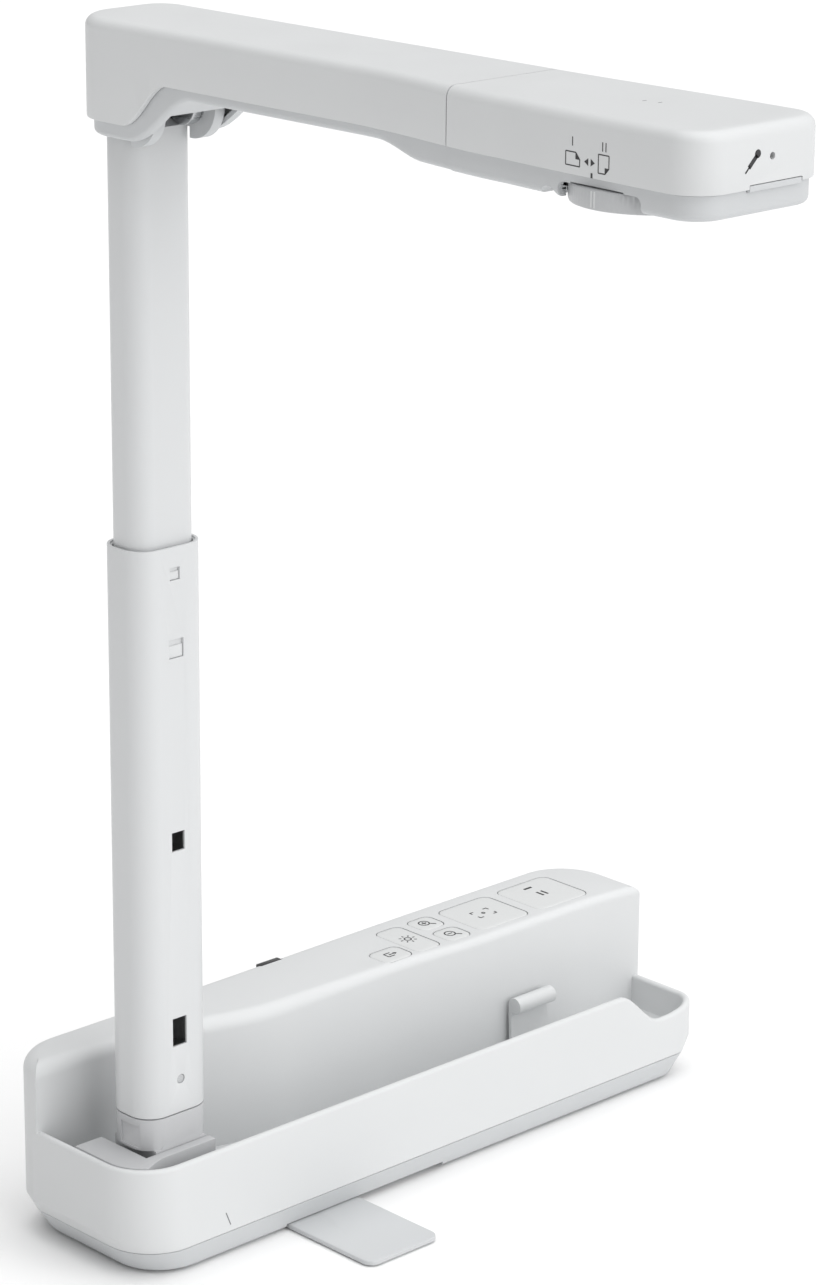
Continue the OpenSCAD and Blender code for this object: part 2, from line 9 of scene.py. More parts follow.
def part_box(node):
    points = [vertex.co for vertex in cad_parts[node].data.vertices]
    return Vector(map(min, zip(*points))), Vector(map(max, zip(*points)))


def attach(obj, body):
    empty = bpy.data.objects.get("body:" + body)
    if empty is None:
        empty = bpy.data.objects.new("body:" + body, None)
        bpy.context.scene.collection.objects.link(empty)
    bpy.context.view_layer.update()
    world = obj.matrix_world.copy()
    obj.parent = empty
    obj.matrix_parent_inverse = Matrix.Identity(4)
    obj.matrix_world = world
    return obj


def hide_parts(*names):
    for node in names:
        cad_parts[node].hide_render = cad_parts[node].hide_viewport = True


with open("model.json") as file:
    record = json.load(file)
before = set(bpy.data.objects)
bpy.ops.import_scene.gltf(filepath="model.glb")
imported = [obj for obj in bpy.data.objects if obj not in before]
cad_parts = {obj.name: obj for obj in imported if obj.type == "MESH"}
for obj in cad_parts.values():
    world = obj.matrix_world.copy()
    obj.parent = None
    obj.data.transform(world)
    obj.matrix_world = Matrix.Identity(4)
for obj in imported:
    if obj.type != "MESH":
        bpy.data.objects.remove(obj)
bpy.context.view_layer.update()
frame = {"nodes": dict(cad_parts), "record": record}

MM = 0.001


# ---------- the frame's own places, in millimetres ----------

def node_box(name):
    lo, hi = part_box(name)
    return Vector(lo) / MM, Vector(hi) / MM


base_lo, base_hi = node_box("base_upper_shell")
tube_lo, tube_hi = node_box("upper_tube")
# Base coordinates: X runs from LEFT to RIGHT, Y back from the front face, Z up from the desk
LEFT = -130
RIGHT = LEFT + base_hi.x - base_lo.x
BASE = Vector((base_lo.x - LEFT, base_lo.y, 0))
# Arm coordinates: X and Y from the column's axis, the head towards -Y
ARM = Vector(((tube_lo.x + tube_hi.x) / 2, (tube_lo.y + tube_hi.y) / 2, 0))
DEPTH = base_hi.y - base_lo.y
BLOCK_Z = base_hi.z
RIM_Z = node_box("hinge_housing")[1].z
SEAM_Z = base_lo.z
# The base's ends lean in below SLOPE_Z, by END_SLOPE at the seam and by END_TAPER at the foot
SLOPE_Z = 14.2
END_SLOPE = 2.7
END_TAPER = 8
# Plan radii of the base's corners: front left, front right and both at the back
CORNER = 18
FRONT_RIGHT = 10
REAR_CORNER = 20
END_SCREWS = (-112, 116)
FLOOR_Z = node_box("hinge_housing")[0].z
TOP_Z = node_box("arm_upper_shell")[1].z
TIP_Y = node_box("head_upper_shell")[0].y - ARM.y
JOINT_Y = node_box("head_upper_shell")[1].y - ARM.y
ARM_REAR = node_box("arm_upper_shell")[1].y - ARM.y
ARM_RIGHT = node_box("arm_upper_shell")[1].x - ARM.x
ARM_LEFT = -19.4
ARM_SEAM = 388.6
dial_lo, dial_hi = node_box("rotation_dial")
DIAL_R = (dial_hi.y - dial_lo.y) / 2
DIAL = Vector((dial_lo.x + DIAL_R - ARM.x, (dial_lo.y + dial_hi.y) / 2 - ARM.y, dial_lo.z))


# ---------- materials ----------

def node_material(name):
    material = bpy.data.materials.new(name)
    material.use_nodes = True
    tree = material.node_tree
    shader = tree.nodes["Principled BSDF"]
    coords = tree.nodes.new("ShaderNodeTexCoord")
    return material, tree, shader, coords


def noise(tree, coords, scale, detail):
    node = tree.nodes.new("ShaderNodeTexNoise")
    node.inputs["Scale"].default_value = scale
    node.inputs["Detail"].default_value = detail
    tree.links.new(coords.outputs["Object"], node.inputs["Vector"])
    return node


def ramp(tree, source, low, high, a, b):
    node = tree.nodes.new("ShaderNodeMapRange")
    node.inputs["From Min"].default_value = low
    node.inputs["From Max"].default_value = high
    node.inputs["To Min"].default_value = a
    node.inputs["To Max"].default_value = b
    tree.links.new(source, node.inputs["Value"])
    return node.outputs["Result"]


def plastic(name, colour, rough, grain_mm=0.35, bump=0.12, mottle=0.012, spread=0.05, coat=0.0):
    """Moulded plastic: a fine spark-eroded grain, faint mottling and a slightly uneven gloss."""
    material, tree, shader, coords = node_material(name)
    cloud = noise(tree, coords, 22, 3)
    mix = tree.nodes.new("ShaderNodeMix")
    mix.data_type = "RGBA"
    mix.inputs["A"].default_value = (*[c * (1 - mottle) for c in colour], 1)
    mix.inputs["B"].default_value = (*[min(1, c * (1 + mottle)) for c in colour], 1)
    tree.links.new(cloud.outputs["Fac"], mix.inputs["Factor"])
    tree.links.new(mix.outputs["Result"], shader.inputs["Base Color"])
    patch = noise(tree, coords, 60, 4)
    tree.links.new(ramp(tree, patch.outputs["Fac"], 0.3, 0.7, rough - spread, rough + spread),
                   shader.inputs["Roughness"])
    grain = noise(tree, coords, 1 / (grain_mm * MM), 2)
    relief = tree.nodes.new("ShaderNodeBump")
    relief.inputs["Strength"].default_value = bump
    relief.inputs["Distance"].default_value = 0.00006
    tree.links.new(grain.outputs["Fac"], relief.inputs["Height"])
    tree.links.new(relief.outputs["Normal"], shader.inputs["Normal"])
    shader.inputs["IOR"].default_value = 1.49
    shader.inputs["Coat Weight"].default_value = coat
    return material


def metal(name, colour, rough):
    """Machined steel with fine drawn lines."""
    material, tree, shader, coords = node_material(name)
    stretch = tree.nodes.new("ShaderNodeMapping")
    stretch.inputs["Scale"].default_value = (40, 40, 2500)
    tree.links.new(coords.outputs["Object"], stretch.inputs["Vector"])
    lines = tree.nodes.new("ShaderNodeTexNoise")
    lines.inputs["Scale"].default_value = 1.0
    lines.inputs["Detail"].default_value = 3
    tree.links.new(stretch.outputs["Vector"], lines.inputs["Vector"])
    tree.links.new(ramp(tree, lines.outputs["Fac"], 0.3, 0.7, rough - 0.07, rough + 0.1),
                   shader.inputs["Roughness"])
    mix = tree.nodes.new("ShaderNodeMix")
    mix.data_type = "RGBA"
    mix.inputs["A"].default_value = (*[c * 0.88 for c in colour], 1)
    mix.inputs["B"].default_value = (*colour, 1)
    tree.links.new(lines.outputs["Fac"], mix.inputs["Factor"])
    tree.links.new(mix.outputs["Result"], shader.inputs["Base Color"])
    shader.inputs["Metallic"].default_value = 1.0
    return material


def circuit(name):
    """Green solder mask with faint copper tracks under it."""
    material, tree, shader, coords = node_material(name)
    tracks = tree.nodes.new("ShaderNodeTexBrick")
    tracks.inputs["Scale"].default_value = 260
    tracks.inputs["Color1"].default_value = (0.02, 0.13, 0.06, 1)
    tracks.inputs["Color2"].default_value = (0.03, 0.17, 0.08, 1)
    tracks.inputs["Mortar"].default_value = (0.08, 0.26, 0.12, 1)
    tree.links.new(coords.outputs["Object"], tracks.inputs["Vector"])
    tree.links.new(tracks.outputs["Color"], shader.inputs["Base Color"])
    patch = noise(tree, coords, 200, 2)
    tree.links.new(ramp(tree, patch.outputs["Fac"], 0, 1, 0.28, 0.42), shader.inputs["Roughness"])
    return material


def glass(name, tint):
    """Coated lens glass with a trace of dust in its gloss."""
    material, tree, shader, coords = node_material(name)
    dust = noise(tree, coords, 900, 4)
    tree.links.new(ramp(tree, dust.outputs["Fac"], 0.4, 0.8, 0.02, 0.12), shader.inputs["Roughness"])
    cloud = noise(tree, coords, 150, 1)
    mix = tree.nodes.new("ShaderNodeMix")
    mix.data_type = "RGBA"
    mix.inputs["A"].default_value = (*tint, 1)
    mix.inputs["B"].default_value = (*[c * 0.8 for c in tint], 1)
    tree.links.new(cloud.outputs["Fac"], mix.inputs["Factor"])
    tree.links.new(mix.outputs["Result"], shader.inputs["Base Color"])
    shader.inputs["Transmission Weight"].default_value = 0.85
    shader.inputs["IOR"].default_value = 1.5
    return material


WHITE = plastic("shell_white", (0.655, 0.665, 0.67), 0.48)
GREY = plastic("shell_grey", (0.555, 0.568, 0.578), 0.50)
HINGE_GREY = plastic("hinge_grey", (0.49, 0.495, 0.505), 0.46)
KEY_WHITE = plastic("key_white", (0.665, 0.675, 0.675), 0.42, grain_mm=0.25, bump=0.08)
TUBE_WHITE = plastic("tube_white", (0.645, 0.655, 0.662), 0.40, grain_mm=0.6, bump=0.06, mottle=0.008)
DIAL_GREY = plastic("dial_grey", (0.50, 0.51, 0.52), 0.33, bump=0.05, coat=0.1)
DARK = plastic("dark_plastic", (0.03, 0.03, 0.033), 0.38, bump=0.1)
INK = plastic("print_dark", (0.028, 0.028, 0.03), 0.5, bump=0.04)
INK_SOFT = plastic("print_grey", (0.17, 0.17, 0.18), 0.5, bump=0.04)
RUBBER = plastic("rubber", (0.06, 0.06, 0.065), 0.8, grain_mm=0.5, bump=0.3)
SMOKED = plastic("smoked_window", (0.02, 0.02, 0.022), 0.12, bump=0.02, spread=0.03, coat=0.3)
FROSTED = plastic("frosted_lens", (0.86, 0.88, 0.89), 0.25, bump=0.08)
PHOSPHOR = plastic("phosphor", (0.80, 0.62, 0.12), 0.45)
STEEL = metal("steel", (0.58, 0.59, 0.60), 0.30)
BOARD = circuit("board")
GLASS = glass("lens_glass", (0.55, 0.62, 0.72))

SLOT_MATERIAL = {
    "shell_white": WHITE, "shell_grey": GREY, "key_white": KEY_WHITE, "tube_white": TUBE_WHITE,
    "dial_grey": DIAL_GREY, "steel": STEEL, "rubber": RUBBER, "dark_plastic": DARK, "board": BOARD,
    "glass": GLASS, "lamp_clear": FROSTED, "led_yellow": PHOSPHOR,
}


# ---------- mesh tools ----------

def smooth(t):
    t = max(0.0, min(1.0, t))
    return t * t * (3 - 2 * t)


def ease(x, x0, v0, x1, v1):
    return v0 + (v1 - v0) * smooth((x - x0) / (x1 - x0))


def make(name, points, faces, origin):
    mesh = bpy.data.meshes.new(name)
    mesh.from_pydata([(Vector(p) + origin) * MM for p in points], [], faces)
    obj = bpy.data.objects.new(name, mesh)
    bpy.context.collection.objects.link(obj)
    bm = bmesh.new()
    bm.from_mesh(mesh)
    bmesh.ops.remove_doubles(bm, verts=bm.verts, dist=1e-7)
    bmesh.ops.dissolve_degenerate(bm, edges=bm.edges, dist=1e-7)
    bmesh.ops.recalc_face_normals(bm, faces=bm.faces)
    bm.to_mesh(mesh)
    bm.free()
    return obj


def apply_modifiers(obj):
    graph = bpy.context.evaluated_depsgraph_get()
    mesh = bpy.data.meshes.new_from_object(obj.evaluated_get(graph))
    obj.modifiers.clear()
    old = obj.data
    obj.data = mesh
    bpy.data.meshes.remove(old)


def bevel(obj, width, segments=3, angle=35):
    mod = obj.modifiers.new("bevel", "BEVEL")
    mod.width = width * MM
    mod.segments = segments
    mod.limit_method = "ANGLE"
    mod.angle_limit = math.radians(angle)
    mod.use_clamp_overlap = True
    apply_modifiers(obj)


def cut(obj, *cutters):
    for cutter in cutters:
        mod = obj.modifiers.new("cut", "BOOLEAN")
        mod.operation = "DIFFERENCE"
        mod.solver = "EXACT"
        mod.object = cutter
        apply_modifiers(obj)
        bpy.data.objects.remove(cutter)


def shade(obj, material, angle=32):
    obj.data.materials.clear()
    obj.data.materials.append(material)
    obj.data.shade_smooth()
    obj.data.set_sharp_from_angle(angle=math.radians(angle))


def place(obj, body, material, nodes=(), angle=32):
    """Finishes a piece: its material, the body it moves with, and the nodes it stands for."""
    shade(obj, material, angle)
    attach(obj, body)
    if nodes:
        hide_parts(*nodes)
    return obj


def join(name, objects):
    bm = bmesh.new()
    for o in objects:
        bm.from_mesh(o.data)
        bpy.data.objects.remove(o)
    mesh = bpy.data.meshes.new(name)
    bm.to_mesh(mesh)
    bm.free()
    obj = bpy.data.objects.new(name, mesh)
    bpy.context.collection.objects.link(obj)
    return obj


def rings(name, loops, origin, close_start=True, close_end=True):
    """A closed skin through loops that all have the same number of points."""
    count = len(loops[0])
    points = [p for loop in loops for p in loop]
    faces = []
    for k in range(len(loops) - 1):
        for i in range(count):
            j = (i + 1) % count
            faces.append((k * count + i, k * count + j, (k + 1) * count + j, (k + 1) * count + i))
    if close_start:
        faces.append(tuple(range(count)))
    if close_end:
        last = (len(loops) - 1) * count
        faces.append(tuple(last + i for i in range(count)))
    return make(name, points, faces, origin)


def prism(name, outline, z0, z1, origin):
    return rings(name, [[(x, y, z0) for x, y in outline], [(x, y, z1) for x, y in outline]], origin)


def side_prism(name, outline, x0, x1, origin):
    """An outline in (y, z) drawn out along X."""
    return rings(name, [[(x0, y, z) for y, z in outline], [(x1, y, z) for y, z in outline]], origin)


def arc(cx, cy, r, a0, a1, n):
    return [(cx + r * math.cos(math.radians(a0 + (a1 - a0) * i / n)),
             cy + r * math.sin(math.radians(a0 + (a1 - a0) * i / n))) for i in range(n + 1)]


def rounded_box(x0, x1, y0, y1, r, n=6):
    """Rounded rectangle outline; r is one radius or four: front-left, front-right, back-right, back-left."""
    a, b, c, d = r if isinstance(r, (list, tuple)) else (r, r, r, r)
    return (arc(x0 + a, y0 + a, a, 180, 270, n) + arc(x1 - b, y0 + b, b, 270, 360, n)
            + arc(x1 - c, y1 - c, c, 0, 90, n) + arc(x0 + d, y1 - d, d, 90, 180, n))


def cylinder(name, start, end, r, origin, n=64):
    axis = Vector(end) - Vector(start)
    turn = axis.to_track_quat("Z", "Y")
    ring = [turn @ Vector((r * math.cos(2 * math.pi * i / n), r * math.sin(2 * math.pi * i / n), 0))
            for i in range(n)]
    return rings(name, [[Vector(start) + p for p in ring], [Vector(end) + p for p in ring]], origin)


def lathe(name, profile, centre, origin, n=96):
    """A body turned about a vertical axis."""
    loops = []
    for r, z in profile:
        loop = []
        for i in range(n):
            a = 2 * math.pi * i / n
            loop.append((centre[0] + r * math.cos(a), centre[1] + r * math.sin(a), z))
        loops.append(loop)
    return rings(name, loops, origin)


def turned_in(points, closed=True):
    """Inward unit normals of a plan outline that runs anticlockwise."""
    n = len(points)
    normals = []
    for i in range(n):
        p = Vector(points[(i - 1) % n]) if closed or i > 0 else Vector(points[0])
        q = Vector(points[(i + 1) % n]) if closed or i < n - 1 else Vector(points[-1])
        t = (q - p).normalized()
        normals.append(Vector((-t.y, t.x)))
    return normals


def copy_of(node, width=0.3):
    """The CAD node's own solid with its flat faces merged and its edges rounded."""
    source = frame["nodes"][node]
    mesh = source.data.copy()
    obj = bpy.data.objects.new(node + "_shape", mesh)
    bpy.context.collection.objects.link(obj)
    bm = bmesh.new()
    bm.from_mesh(mesh)
    bmesh.ops.remove_doubles(bm, verts=bm.verts, dist=2e-6)
    bmesh.ops.dissolve_limit(bm, angle_limit=math.radians(0.6), verts=bm.verts, edges=bm.edges)
    bm.to_mesh(mesh)
    bm.free()
    bevel(obj, width)
    return obj


def carry(node, body, material, width):
    """A rounded piece that stands for one CAD node."""
    return place(copy_of(node, width), body, material, [node])


# ---------- base ----------

# The block's right end curves forward from WING_X, by WING_DEPTH
WING_X = 106
WING_DEPTH = 2.6
# The front rim dips near its right end, from DIP_START down to DIP_Z
DIP_START = 93
DIP_LEFT = 114
DIP_RIGHT = 118
DIP_Z = 25.5
END_RIM_Z = 28


def block_face_y(x):
    """Front face of the control block, seen from above."""
    if x < -113:
        return 51.5
    if x < -100:
        return 51.5 - 0.5 * (x + 113) / 13
    if x < -33:
        return ease(x, -100, 51, -33, 37.5)
    if x < 12:
        return 37.5 - 0.5 * smooth((x + 33) / 45)
    if x < 60:
        return 37 - 2.8 * smooth((x - 12) / 48)
    if x < WING_X:
        return 34.2
    return 34.2 - WING_DEPTH * (1 - math.cos(math.radians(90 * (x - WING_X) / (RIGHT - WING_X))))


def rim_height(x):
    if x < (DIP_LEFT + DIP_RIGHT) / 2:
        return ease(x, DIP_START, RIM_Z, DIP_LEFT, DIP_Z)
    return ease(x, DIP_RIGHT, DIP_Z, RIGHT, END_RIM_Z)


def leaned_in(x, z):
    """Draws x towards the middle of the base, as its ends lean in below SLOPE_Z."""
    lean = END_SLOPE * max(0, min(1, (SLOPE_Z - z) / (SLOPE_Z - SEAM_Z)))
    mid = (LEFT + RIGHT) / 2
    return mid + (x - mid) * (1 - lean / (RIGHT - mid))


FACE_STEPS = 106


def block_outline():
    """Anticlockwise: along the front face, up the right end, back along the rear and down the left end."""
    front_x = [LEFT + i * (RIGHT - LEFT) / FACE_STEPS for i in range(FACE_STEPS + 1)]
    front = [(x, block_face_y(x)) for x in front_x]
    right = [(RIGHT, y) for y in (38, 44)]
    right += arc(RIGHT - REAR_CORNER, DEPTH - REAR_CORNER, REAR_CORNER, 0, 90, 14)
    rear = [(x, DEPTH) for x in range(100, -110, -15)]
    left = arc(LEFT + REAR_CORNER, DEPTH - REAR_CORNER, REAR_CORNER, 90, 174, 12)
    return front + right + rear + left


def fillet_width(x):
    """The block's top edge is softest at the left of its front face."""
    return ease(x, -60, 5.0, 60, 3.0)


def block_shell():
    outline = block_outline()
    normals = turned_in(outline)
    # The two front corners turn sharply, so their inset follows both edges
    corners = {0: Vector((1, 1)), FACE_STEPS: Vector((-1, 1))}
    loops = [[(leaned_in(x, z), y, z) for x, y in outline] for z in (SEAM_Z, SLOPE_Z)]
    steps = 7
    for k in range(steps + 1):
        a = math.radians(90 * k / steps)
        loop = []
        for i, (x, y) in enumerate(outline):
            r = fillet_width(x)
            n = corners.get(i, normals[i])
            d = r * (1 - math.cos(a))
            # The loops may not pass the ends or, behind the corners, the front face
            inside_x = max(LEFT + d, min(RIGHT - d, x + n.x * d))
            inside_y = y + n.y * d
            if i > FACE_STEPS:
                inside_y = max(inside_y, block_face_y(x) + d)
            loop.append((inside_x, inside_y, BLOCK_Z - r + r * math.sin(a)))
        loops.append(loop)
    return rings("block", loops, BASE)


def tray_path():
    left = [(LEFT, y) for y in (54, 50, 42, 34, 26)]
    corner = arc(LEFT + CORNER, CORNER, CORNER, 180, 270, 16)
    front = [(x, 0) for x in range(-108, 92, 10)] + [(92 + 2 * i, 0) for i in range(17)]
    right = arc(RIGHT - FRONT_RIGHT, FRONT_RIGHT, FRONT_RIGHT, 270, 360, 12)
    return left + corner + front + right + [(RIGHT, y) for y in (12, 18, 24, 30, 33.5)]


def tray_wall():
    path = tray_path()
    normals = turned_in(path, closed=False)
    wall = 2.7
    lip = wall / 2
    loops = []
    for (x, y), n in zip(path, normals):
        top = rim_height(x) - lip
        section = [(0, SEAM_Z), (0, SLOPE_Z), (0, (SLOPE_Z + top) / 2), (0, top)]
        section += [(lip - lip * math.cos(math.radians(a)), top + lip * math.sin(math.radians(a)))
                    for a in range(20, 180, 20)]
        section += [(wall, top), (wall, FLOOR_Z + 2), (wall + 0.6, FLOOR_Z + 0.6), (wall + 2, FLOOR_Z),
                    (wall + 3, FLOOR_Z - 2), (wall + 3, SEAM_Z)]
        loops.append([(leaned_in(x + n.x * d, z), y + n.y * d, z) for d, z in section])
    return rings("tray", loops, BASE)


def trough_floor():
    span = RIGHT - LEFT - 6
    front = [(x, block_face_y(x) + 2) for x in [RIGHT - 3 - i * span / 80 for i in range(81)]]
    edge = [(LEFT + 3, 40)] + arc(LEFT + CORNER, CORNER, CORNER - 3, 180, 270, 8)
    edge += arc(RIGHT - FRONT_RIGHT, FRONT_RIGHT, FRONT_RIGHT - 3, 270, 360, 8)
    return prism("floor_plate", edge + front, FLOOR_Z - 2, FLOOR_Z, BASE)


KEY_NODES = ["key_source", "key_brightness", "key_zoom_in", "key_zoom_out", "key_focus", "key_freeze"]


def key_outline(node, grow, flange=0.9):
    lo, hi = node_box(node)
    lo, hi = lo - BASE, hi - BASE
    radius = 3 if hi.x - lo.x < 22 else 3.5
    return rounded_box(lo.x + flange - grow, hi.x - flange + grow, lo.y + flange - grow, hi.y - flange + grow,
                       radius + grow)


def window_outline(grow):
    lo, hi = node_box("status_window")
    return rounded_box(lo.x - BASE.x + 0.4 - grow, hi.x - BASE.x - 0.4 + grow, hi.y - BASE.y - 3.4 - grow,
                       hi.y - BASE.y - 0.3 + grow, 0.5, 4)


def build_base_upper():
    block = block_shell()
    cutters = []
    for node in KEY_NODES:
        cutters.append(prism("gap", key_outline(node, 0.3), BLOCK_Z - 3.6, BLOCK_Z + 2, BASE))
    cutters.append(prism("slot", window_outline(0.12), BLOCK_Z - 2.4, BLOCK_Z + 2, BASE))
    lo, hi = node_box("usb_socket")
    socket = rounded_box(lo.x - BASE.x - 0.2, hi.x - BASE.x + 0.2, lo.z - 0.2, hi.z + 0.2, 0.6, 4)
    socket_loops = [[(x, y, z) for x, z in socket] for y in (DEPTH - 9, DEPTH + 2)]
    cutters.append(rings("socket_hole", socket_loops, BASE))
    cut(block, *cutters)
    body = join("base_upper_shell_skin", [block, tray_wall(), trough_floor()])
    place(body, "base", WHITE, ["base_upper_shell"], 28)
    window = prism("status_window_lens", window_outline(0), BLOCK_Z - 2.2, BLOCK_Z - 0.35, BASE)
    bevel(window, 0.15)
    place(window, "base", SMOKED, ["status_window"])


def build_base_lower():
    x_mid = (LEFT + RIGHT) / 2
    half_x = (RIGHT - LEFT) / 2
    outline = rounded_box(LEFT, RIGHT, 0, DEPTH, (CORNER, FRONT_RIGHT, REAR_CORNER, REAR_CORNER), 14)

    def loop(z, inset_x, inset_y):
        sx, sy = 1 - inset_x / half_x, 1 - inset_y / (DEPTH / 2)
        return [((x - x_mid) * sx + x_mid, (y - DEPTH / 2) * sy + DEPTH / 2, z) for x, y in outline]

    def taper(z, extra=0.0):
        t = (SEAM_Z - z) / (SEAM_Z - 1)
        return loop(z, END_SLOPE + (END_TAPER - END_SLOPE) * t + extra, 2.4 * t + extra)

    # The lip inside the seam, the shadow gap, the side, and the soft edge at the foot
    loops = [taper(SEAM_Z + 0.4, 3.4), taper(SEAM_Z + 0.4, 0.9), taper(SEAM_Z - 0.3, 0.9)]
    loops += [taper(SEAM_Z - 0.35, 0.2), taper(SEAM_Z - 0.55), taper(6.8), taper(4), taper(2.2)]
    loops += [taper(1.6, 0.12), taper(1.2, 0.45), taper(1.0, 1.1)]
    shell = rings("base_lower_shell_skin", loops, BASE)
    pivot = (node_box("foot_pivot")[0] + node_box("foot_pivot")[1]) / 2 - BASE
    half = (node_box("foot_plate")[1].x - node_box("foot_plate")[0].x) / 2 + 1
    reach = 57
    sector = ([(pivot.x - half, pivot.y + 2)] + [(pivot.x - half, pivot.y - 54.7)]
              + arc(pivot.x, pivot.y, reach, 253, 360 + 17, 26)[1:] + [(pivot.x + 2, pivot.y + half)]
              + arc(pivot.x, pivot.y, half, 92, 172, 8))
    cutters = [prism("foot_sweep", sector, -1, 2.6, BASE)]
    for x in END_SCREWS:
        cutters.append(cylinder("screw_well", (x, 20, -1), (x, 20, 4), 3.2, BASE, 32))
    cut(shell, *cutters)
    place(shell, "base", GREY, ["base_lower_shell"], 30)


def build_keys():
    for node in KEY_NODES:
        outline = key_outline(node, 0)
        normals = turned_in(outline)
        crown = 0.35

        def loop(inset, z):
            return [(x + n.x * inset, y + n.y * inset, z) for (x, y), n in zip(outline, normals)]

        levels = [loop(0, BLOCK_Z - 4.4), loop(0, BLOCK_Z - 0.5), loop(0.05, BLOCK_Z - 0.22)]
        levels += [loop(0.2, BLOCK_Z - 0.06), loop(0.5, BLOCK_Z + 0.02), loop(1.6, BLOCK_Z + crown * 0.25)]
        cap = rings(node + "_cap", levels, BASE)
        stem_lo, stem_hi = node_box(node)
        mid = (stem_lo + stem_hi) / 2 - BASE
        stem = cylinder("stem", (mid.x, mid.y, stem_lo.z), (mid.x, mid.y, BLOCK_Z - 4), 1.6, BASE, 24)
        flange = prism("flange", key_outline(node, 0.85), BLOCK_Z - 4.6, BLOCK_Z - 3.05, BASE)
        body = node.replace("key_", "")
        place(join(node + "_piece", [cap, stem, flange]), body, KEY_WHITE, [node])
        icon(node, body)


def flat_marks(name, body, shapes, z, material, thick=0.05):
    """Printed marks: thin closed plates on a horizontal face, each shape an outline in base coordinates."""
    plates = [prism("mark", s, z - 0.02, z + thick, BASE) for s in shapes]
    place(join(name, plates), body, material)


def bar(x0, y0, x1, y1, w):
    """A straight stroke of width w."""
    d = Vector((x1 - x0, y1 - y0)).normalized() * w / 2
    n = Vector((-d.y, d.x))
    return [(x0 - n.x, y0 - n.y), (x1 - n.x, y1 - n.y), (x1 + n.x, y1 + n.y), (x0 + n.x, y0 + n.y)]


def ring_strokes(cx, cy, r, w, n=24):
    out = []
    for i in range(n):
        a, b = 2 * math.pi * i / n, 2 * math.pi * (i + 1.08) / n
        corners = ((a, r), (b, r), (b, r - w), (a, r - w))
        out.append([(cx + far * math.cos(t), cy + far * math.sin(t)) for t, far in corners])
    return out


def icon(node, body):
    """A generic symbol for what each key does."""
    lo, hi = node_box(node)
    c = (lo + hi) / 2 - BASE
    shapes = []
    w = 0.5
    if node == "key_brightness":
        shapes = ring_strokes(c.x, c.y, 1.5, w)
        for i in range(8):
            a = math.pi * i / 4
            shapes.append(bar(c.x + 2.2 * math.cos(a), c.y + 2.2 * math.sin(a),
                              c.x + 3.2 * math.cos(a), c.y + 3.2 * math.sin(a), w))
    if node in ("key_zoom_in", "key_zoom_out"):
        shapes = ring_strokes(c.x - 0.4, c.y + 0.4, 2.2, w)
        shapes.append(bar(c.x + 1.2, c.y - 1.2, c.x + 2.7, c.y - 2.7, 0.6))
        shapes.append(bar(c.x - 1.5, c.y + 0.4, c.x + 0.7, c.y + 0.4, w))
        if node == "key_zoom_in":
            shapes.append(bar(c.x - 0.4, c.y - 0.7, c.x - 0.4, c.y + 1.5, w))
    if node == "key_source":
        shapes = [bar(c.x - 2, c.y - 1.4, c.x + 0.8, c.y - 1.4, w),
                  bar(c.x - 2, c.y - 1.4, c.x - 2, c.y + 1.4, w),
                  bar(c.x - 2, c.y + 1.4, c.x + 0.8, c.y + 1.4, w),
                  bar(c.x - 0.8, c.y, c.x + 2.2, c.y, w),
                  [(c.x + 1.6, c.y - 0.9), (c.x + 2.9, c.y), (c.x + 1.6, c.y + 0.9)]]
    if node == "key_focus":
        for sx in (-1, 1):
            for sy in (-1, 1):
                shapes.append(bar(c.x + sx * 4.2, c.y + sy * 2.8, c.x + sx * 2.4, c.y + sy * 2.8, w))
                shapes.append(bar(c.x + sx * 4, c.y + sy * 2.9, c.x + sx * 4, c.y + sy * 1.4, w))
        shapes += ring_strokes(c.x, c.y, 0.8, 0.5, 16)
    if node == "key_freeze":
        shapes = [bar(x, c.y - 2.2, x, c.y + 1.6, 0.9) for x in (c.x - 1.1, c.x + 1.1)]
    flat_marks(node + "_icon", body, shapes, BLOCK_Z + 0.08, INK)
    if node == "key_freeze":
        dash = [bar(c.x - 2.6, hi.y - BASE.y - 6.3, c.x + 1.2, hi.y - BASE.y - 6.3, 1.1)]
        flat_marks("freeze_light", body, dash, BLOCK_Z + 0.08, INK)


def build_base_details():
    carry("hinge_housing", "base", HINGE_GREY, 0.45)
    carry("usb_socket", "base", STEEL, 0.12)
    carry("column_catch", "catch", WHITE, 0.3)
    carry("foot_plate", "foot", GREY, 0.45)
    carry("foot_pad", "foot", RUBBER, 0.15)
    carry("rubber_feet", "base", RUBBER, 0.3)
    carry("hinge_bracket", "base", STEEL, 0.3)
    # A short slanted moulding mark low on the front wall
    mark = bar(-93.2, 16.6, -91.2, 11.8, 0.35)
    plate = rings("front_mark", [[(x, -0.05, z) for x, z in mark], [(x, 0.1, z) for x, z in mark]], BASE)
    place(plate, "base", INK_SOFT)


# ---------- column ----------

def build_column():
    carry("column_knuckle", "column", HINGE_GREY, 0.35)
    tube = copy_of("lower_tube", 0.28)
    # A fine shadow gap between the tube and the collar of the knuckle
    bottom = min(v.co.z for v in tube.data.vertices)
    for v in tube.data.vertices:
        if v.co.z < bottom + 1 * MM:
            v.co.z += 0.45 * MM
    place(tube, "column", TUBE_WHITE, ["lower_tube"])
    carry("tube_guide", "column", WHITE, 0.15)
    carry("column_screw", "column", STEEL, 0.1)
    carry("upper_tube", "mast", TUBE_WHITE, 0.25)
    carry("elbow_yoke", "mast", GREY, 0.35)
    carry("yoke_screws", "mast", STEEL, 0.1)
    carry("arm_hinge_bracket", "arm", STEEL, 0.3)


# ---------- arm and head: loops between left and right edges at shared stations ----------

